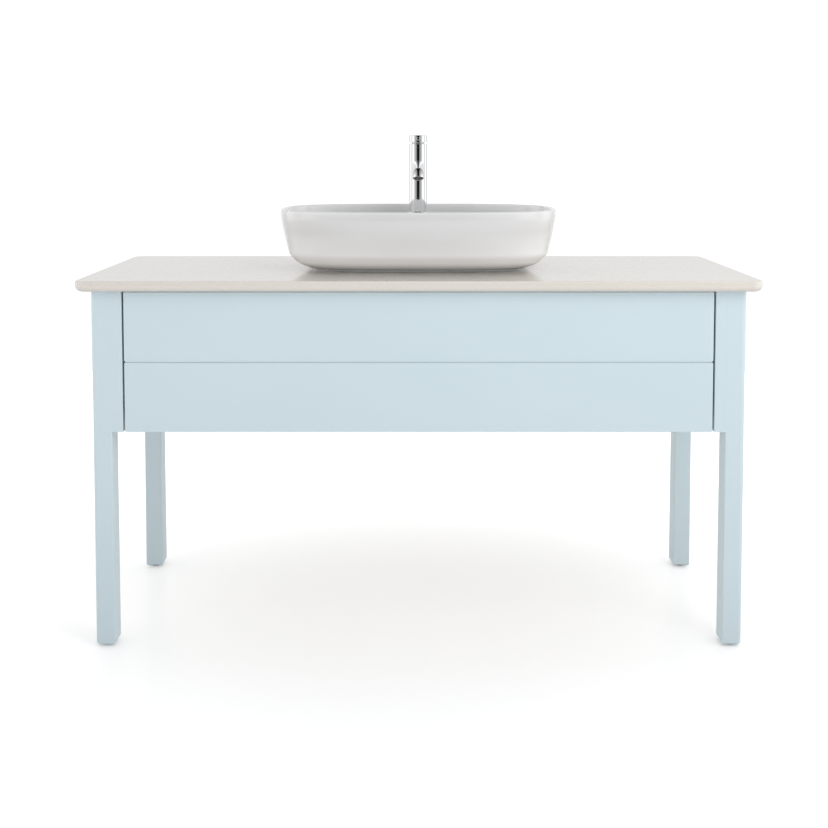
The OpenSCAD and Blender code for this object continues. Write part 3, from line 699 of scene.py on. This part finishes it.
def spout_path():
    """Centre line of the spout from inside the body to its outlet, as (y, z, angle below the horizontal)."""
    bend_y = TAP_Y - 95.6 + 22 * math.sin(math.radians(11))
    bend_z = 969.6 - 22 * math.cos(math.radians(11))
    p1 = Vector((TAP_Y - 95.6, 969.6))
    back = Vector((math.cos(math.radians(11)), math.sin(math.radians(11))))
    path = [(*(p1 + back * (92 * (1 - k / 6))), 11.0) for k in range(6)]
    for k in range(23):
        a = 11 + 55 * k / 22
        path.append((bend_y - 22 * math.sin(math.radians(a)), bend_z + 22 * math.cos(math.radians(a)), a))
    return path


def spout_ring(y, z, slope, r, along=0.0, n=80):
    """A ring of radius r square to the spout's axis; along moves it towards the outlet."""
    a = math.radians(slope)
    ahead = Vector((0, -math.cos(a), -math.sin(a)))
    up = Vector((0, -math.sin(a), math.cos(a)))
    c = Vector((0, y, z)) + ahead * along
    return [tuple(c + Vector((1, 0, 0)) * u + up * v) for u, v in circle_points(r, n)]


def tap():
    at = (0, TAP_Y, 0)
    gasket = rounded([(16.6, 869.5), (22.25, 869.5), (22.25, 871), (16.6, 871)], 0.4, 3)
    add_piece("tap_gasket_ring", turned(lathe(gasket, True), at=at), "rubber", replaces="tap_gasket")
    ring = rounded([(16.6, 871), (23.75, 871), (23.75, 877), (16.6, 877)], [0.3, 0.4, 2.2, 0.3], 8)
    add_piece("tap_base_ring", turned(lathe(ring, True, 144), at=at), "chrome", replaces="tap_ring", sharp=60)

    body = lathe(rounded([(0, 877), (TAP_R, 877), (TAP_R, 1034.5), (16.2, 1034.5), (16.2, 1031), (0, 1031)],
                         [0, 0.5, 0.8, 0.4, 0, 0], 5, False), segments=144)
    path = spout_path()
    y, z, a = path[-1]
    tube = [spout_ring(*p, SPOUT_R) for p in path[:-1]]
    tube += [spout_ring(y, z, a, SPOUT_R, -0.7), spout_ring(y, z, a, 12.35, -0.2),
             spout_ring(y, z, a, 12.0, 0),
             spout_ring(y, z, a, 11.35, 0), spout_ring(y, z, a, 11.05, -0.3), spout_ring(y, z, a, 11.0, -6.2)]
    add_piece("tap_body_and_spout", boolean(turned(body, at=at), [skin(tube)], "UNION"), "chrome",
              replaces="tap_body", sharp=30)

    outlet = Matrix.Translation((0, y, z)) @ Matrix.Rotation(math.radians(a - 90), 4, "X")
    add_piece("tap_aerator", aerator(outlet), "aerator", replaces="aerator")

    r = 14
    dome = [(r * math.cos(t), PIVOT_Z + r * math.sin(t))
            for t in (math.radians(d) for d in range(-24, 91, 6))]
    foot_r = dome[0][0] - 0.4
    dome = [(0, dome[0][1] - 0.3), (foot_r, dome[0][1] - 0.3), *dome[:-1], (0, PIVOT_Z + r)]
    add_piece("turning_dome", turned(lathe(dome, segments=72), at=at), "zinc", replaces="stem")

    r, rise = 14.4, 1.8
    z0 = PIVOT_Z + rise
    hollow = [(r * math.sin(t), PIVOT_Z + r * math.cos(t))
              for t in (math.radians(d) for d in range(0, 82, 6))]
    hollow.append((math.sqrt(r**2 - rise**2), z0))
    edge = rounded([hollow[-1], (TAP_R, z0), (TAP_R, 1054), (0, 1054)], [0, 0.5, 0.9, 0], 6, False)
    cap = turned(lathe(hollow + edge[1:], segments=144), at=at)
    heel = turned(prism(rectangle(-30, 30, 0, 40, 0.1, 1), -20, 0, 0.01, 0.01, 1),
                  Matrix.Rotation(math.radians(12), 3, "X"), (0, TAP_Y, z0))
    cap = boolean(cap, [heel], "DIFFERENCE")
    add_piece("tap_cap", cap, "chrome", replaces="cap", sharp=30)

    lo, hi = box_mm("lever")
    pin = rounded([(0, 0), (4, 0), (4, hi[1] - lo[1]), (0, hi[1] - lo[1])], [0, 1.4, 0.3, 0], 7, False)
    add_piece("pin_lever", turned(lathe(pin, segments=56), TO_WALL, (0, lo[1], (lo[2] + hi[2]) / 2)),
              "chrome", replaces="lever", sharp=60)

    for name, sx in (("hot", -1), ("cold", 1)):
        lo, hi = box_mm(f"inlet_{name}")
        z0, z1 = lo[2], hi[2]
        tail = rounded([(3.2, z0), (4.5, z0), (4.5, z0 + 2), (4.1, z0 + 2.4), (4.1, z0 + 3.2),
                        (4.5, z0 + 3.6), (4.5, z1), (3.2, z1)], [0.2, 0.5, 0.1, 0.1, 0.1, 0.1, 0.2, 0.2], 3)
        add_piece(f"inlet_tail_{name}",
                  turned(lathe(tail, True, 40), at=((lo[0] + hi[0]) / 2, TAP_Y, 0)), "copper",
                  replaces=f"inlet_{name}")


def aerator(place):
    """A rim with a honeycomb of small open cells, its face towards the outlet."""
    rim = rounded([(8.6, 0.7), (10.9, 0.7), (10.9, 6.0), (8.6, 6.0)], [0.5, 0.4, 0.2, 0.1], 4)
    parts = [lathe(rim, True, 72), skin([[(x, y, z) for x, y in circle_points(8.7, 72)] for z in (3.4, 6.0)])]
    pitch = 1.5
    for row in range(-7, 8):
        for col in range(-7, 8):
            x, y = pitch * (col + 0.5 * (row % 2)), pitch * row * math.sqrt(3) / 2
            if math.hypot(x, y) > 8.1:
                continue
            rings = [[(x + r * px, y + r * py, z) for px, py in circle_points(1, 6, math.pi / 6)]
                     for r, z in ((0.86, 3.5), (0.86, 2.2), (0.62, 2.1), (0.60, 3.5))]
            parts.append(skin(rings, closed=True))
    verts, faces = joined(*parts)
    return [tuple(place @ Vector(v)) for v in verts], faces


# ---------------------------------------------------------------- waste and trap

def grips(count, depth, above):
    """Shallow grip flutes on the outside of a nut."""
    def shape(angle, r):
        if r < above:
            return r
        return r - depth * (0.5 + 0.5 * math.cos(count * angle)) ** 3
    return shape


def hexagon(across):
    """Cuts a circle to a hexagon of that half width across its flats, with slightly turned corners."""
    def shape(angle, r):
        t = (angle + math.pi / 6) % (math.pi / 3) - math.pi / 6
        return min(r, across / math.cos(math.pi / 6 - abs(t))) if r > 0.8 * across else r
    return shape


def waste():
    at = (0, DRAIN_Y, 0)
    thread = [(18.9 if k % 2 == 0 else 18.2, 701.5 + 0.75 * k) for k in range(30)]
    profile = ([(16.6, 700.2), (18.0, 700.2)] + thread + [(19, 724), (22, 724.3), (22, 774.4), (25.5, 775)]
               + rounded([(24.9, 775), (32, 775), (32, 778), (25, 778)], [0, 0.8, 1.6, 0.4], 6, False)[1:]
               + [(22.4, 776.2), (19.2, 773.9), (16.6, 772)])
    parts = [turned(lathe(profile, True), at=at)]
    bush = rounded([(4.1, 742), (6, 742), (6, 762), (4.1, 762)], 0.4, 3)
    parts.append(turned(lathe(bush, True, 40), at=at))
    for k in range(3):
        arm = prism(rectangle(5.2, 17.2, -1.2, 1.2, 0.3, 2), 742, 756, 0.3, 0.3, 1)
        parts.append(turned(arm, Matrix.Rotation(2 * math.pi * k / 3, 3, "Z"), at))
    add_piece("waste_flange_and_body", joined(*parts), "chrome", replaces="waste_body")
    lid = rounded([(0, 736), (4, 736), (4, 779), (29, 779), (29, 782.1), (16, 782.85), (0, 783)],
                  [0, 0.6, 0.5, 0.7, 1.8, 30, 0], 7, False)
    add_piece("waste_plug_lid", turned(lathe(lid, segments=128), at=at), "chrome",
              replaces="waste_plug", sharp=50)
    seal = rounded([(22.1, 733), (34, 733), (34, 737), (22.1, 737)], [0.2, 1, 1, 0.2], 4)
    add_piece("waste_seal_ring", turned(lathe(seal, True), at=at), "rubber", replaces="waste_seal")
    nut = rounded([(22.1, 725), (35, 725), (35, 733), (22.1, 733)], [0.6, 0.8, 0.8, 0.6], 3)
    add_piece("waste_lock_nut", turned(lathe(nut, True, 120, hexagon(30.31)), at=at), "zinc",
              replaces="waste_nut")

    tube = rounded([(14.5, 612), (16, 612), (16, 708), (14.5, 708)], 0.4, 3)
    add_piece("trap_inlet_tube", turned(lathe(tube, True), at=at), "chrome", replaces="trap_tube")
    nut = rounded([(16.1, 690), (23, 690), (23, 712), (19.1, 712), (19.1, 700), (16.1, 700)],
                  [0.4, 1.6, 1.0, 0.4, 0.1, 0.1], 5)
    add_piece("trap_slip_nut", turned(lathe(nut, True, 192, grips(24, 0.9, 21)), at=at), "chrome",
              replaces="trap_nut")
    cup = rounded([(0, 596), (32, 596), (32, 614.4), (31.2, 615), (31.2, 616.4), (32, 617), (32, 684),
                   (16.1, 684),
                   (16.1, 679), (0, 679)], [0, 4.5, 0.3, 0.2, 0.2, 0.3, 3.2, 0.4, 0, 0], 7, False)
    cup = [(0, 596)] + cup[1:]
    port = rounded([(0, 0), (19, 0), (19, 46), (16.1, 46), (16.1, 40), (0, 40)],
                   [0, 0, 0.6, 0.2, 0, 0], 4, False)
    port = turned(lathe(port), TO_WALL, (0, DRAIN_Y, OUTLET_Z))
    add_piece("trap_cup_shell", boolean(turned(lathe(cup, segments=128), at=at), [port], "UNION"), "chrome",
              replaces="trap_cup", sharp=30)

    wall_at = (0, 0, OUTLET_Z)
    pipe = rounded([(14.5, -13), (16, -13), (16, 285), (14.5, 285)], 0.3, 2)
    add_piece("outlet_pipe_tube", turned(lathe(pipe, True), TO_WALL, wall_at), "chrome",
              replaces="outlet_pipe")
    nut = rounded([(19.1, -11), (23, -11), (23, 11), (16.1, 11), (16.1, 1), (19.1, 1)],
                  [0.4, 1.0, 1.6, 0.4, 0.1, 0.1], 5)
    add_piece("outlet_slip_nut", turned(lathe(nut, True, 192, grips(24, 0.9, 21)), TO_WALL, wall_at),
              "chrome", replaces="outlet_nut")
    plate = rounded([(16.1, 273), (20, 273), (20.3, 280.6), (34, 282.2), (36, 285), (16.1, 285)],
                    [0.4, 1.2, 3.0, 2.0, 0.3, 0.2], 6)
    add_piece("wall_cover_plate", turned(lathe(plate, True, 128), TO_WALL, wall_at), "chrome",
              replaces="wall_plate", sharp=60)


def keep_cad_nodes():
    """Hidden fixings keep their CAD shape and get their materials."""
    for node, slot in (("tap_shank", "brass"), ("tap_washer", "zinc"), ("tap_nut", "brass"),
                       ("cartridge", "cartridge"), ("cartridge_nut", "brass")):
        o = frame["nodes"][node]
        for s in o.material_slots:
            s.material = MATERIAL[slot]


slab()
legs()
cabinet()
runners()
drawers()
basin()
tap()
waste()
keep_cad_nodes()


# ---------------------------------------------------------------- floor and light

def floor():
    mesh = bpy.data.meshes.new("floor")
    mesh.from_pydata([(x, y, 0) for x, y in circle_points(FLOOR_R, 64)], [], [tuple(range(64))])
    o = bpy.data.objects.new("floor", mesh)
    scene.collection.objects.link(o)
    mat = bpy.data.materials.new("pale_floor")
    mat.use_nodes = True
    g = Graph(mat.node_tree)
    diffuse = g.node("ShaderNodeBsdfPrincipled", {"Base Color": (0.80, 0.80, 0.806, 1), "Roughness": 0.28,
                                                  "Specular IOR Level": 0.35})
    # Painted shadow: for camera rays the floor glows, less near the object and more away from it, which
    # paints a soft shadow round the cabinet.
    seen = g.node("ShaderNodeLightPath").outputs["Is Camera Ray"]
    away = g.node("ShaderNodeVectorMath",
                  {0: g.node("ShaderNodeTexCoord").outputs["Object"], 1: (0, -0.15, 0)}, operation="DISTANCE")
    rise = g.node("ShaderNodeMapRange", {"Value": away.outputs["Value"], "From Min": 0.2, "From Max": 2.2,
                                         "To Min": 0.225,
                                         "To Max": 0.80}, interpolation_type="SMOOTHSTEP").outputs[0]
    painted_shadow_glow = g.node("ShaderNodeEmission", {"Color": (1, 1, 1, 1), "Strength": g.math("MULTIPLY", seen, rise)})
    both = g.node("ShaderNodeAddShader", {0: diffuse.outputs[0], 1: painted_shadow_glow.outputs[0]})
    g.node("ShaderNodeOutputMaterial", {"Surface": both.outputs[0]})
    mesh.materials.append(mat)


def studio():
    """A white studio, darker in front of the object and a little brighter on the right."""
    world = bpy.data.worlds.new("studio")
    scene.world = world
    world.use_nodes = True
    g = Graph(world.node_tree)
    ray = g.node("ShaderNodeTexCoord").outputs["Generated"]
    xyz = g.node("ShaderNodeSeparateXYZ", {0: ray})
    x, y, z = xyz.outputs[0], xyz.outputs[1], xyz.outputs[2]
    # Mirrored in gloss: two wide soft boxes left and right, dark between them from the front over the top,
    # and a plain backdrop behind.
    stops = [(0, 0.0), (13, 0.0), (17, 0.25), (24, 0.34), (34, 0.50), (44, 0.64), (55, 1.00),
             (62, 1.35), (76, 1.45), (83, 0.84), (90, 0.84)]
    boxes = g.ramp(g.math("ABSOLUTE", x), [(math.sin(math.radians(a)), v) for a, v in stops])
    back = g.node("ShaderNodeMapRange", {"Value": y, "From Min": 0.70, "From Max": 0.88},
                  interpolation_type="SMOOTHSTEP").outputs[0]
    mirrored = g.blend(back, g.node("ShaderNodeRGBToBW", {0: boxes}).outputs[0], 0.85)
    # On matt surfaces: more from the sides, the back and a little from the right, and near the horizon more
    # again from the front and the sides.
    side = g.math("MULTIPLY", x, x)
    low = g.math("POWER", g.math("SUBTRACT", 1.0, g.math("ABSOLUTE", z)), 6.0)
    ahead = g.node("ShaderNodeMapRange", {"Value": y, "From Min": 0.2, "From Max": -0.5}).outputs[0]
    soft = g.math("ADD", g.math("ADD", 0.65, g.math("MULTIPLY", side, 0.60)), g.math("MULTIPLY", x, 0.06))
    soft = g.math("ADD", soft, g.math("MULTIPLY", g.math("MULTIPLY", low, ahead), 1.25))
    soft = g.math("ADD", soft, g.math("MULTIPLY", low, side))
    soft = g.math("ADD", soft, g.math("MULTIPLY", g.math("MAXIMUM", y, 0.0), 0.35))
    path = g.node("ShaderNodeLightPath").outputs
    strength = g.blend(path["Is Glossy Ray"], soft, mirrored)
    strength = g.blend(path["Is Camera Ray"], strength, 1.05)
    light = g.node("ShaderNodeBackground", {"Color": (1, 1, 1, 1), "Strength": strength})
    g.node("ShaderNodeOutputWorld", {"Surface": light.outputs[0]})
    lamp = bpy.data.lights.new("soft_box", "AREA")
    lamp.shape, lamp.size, lamp.energy = "DISK", 1.2, 10.0
    box = bpy.data.objects.new("soft_box", lamp)
    scene.collection.objects.link(box)
    box.location = (1.15, -1.4, 2.0)
    box.rotation_euler = Vector((1.15, -1.3, 1.4)).to_track_quat("Z", "Y").to_euler()
    box.visible_glossy = False


floor()
studio()
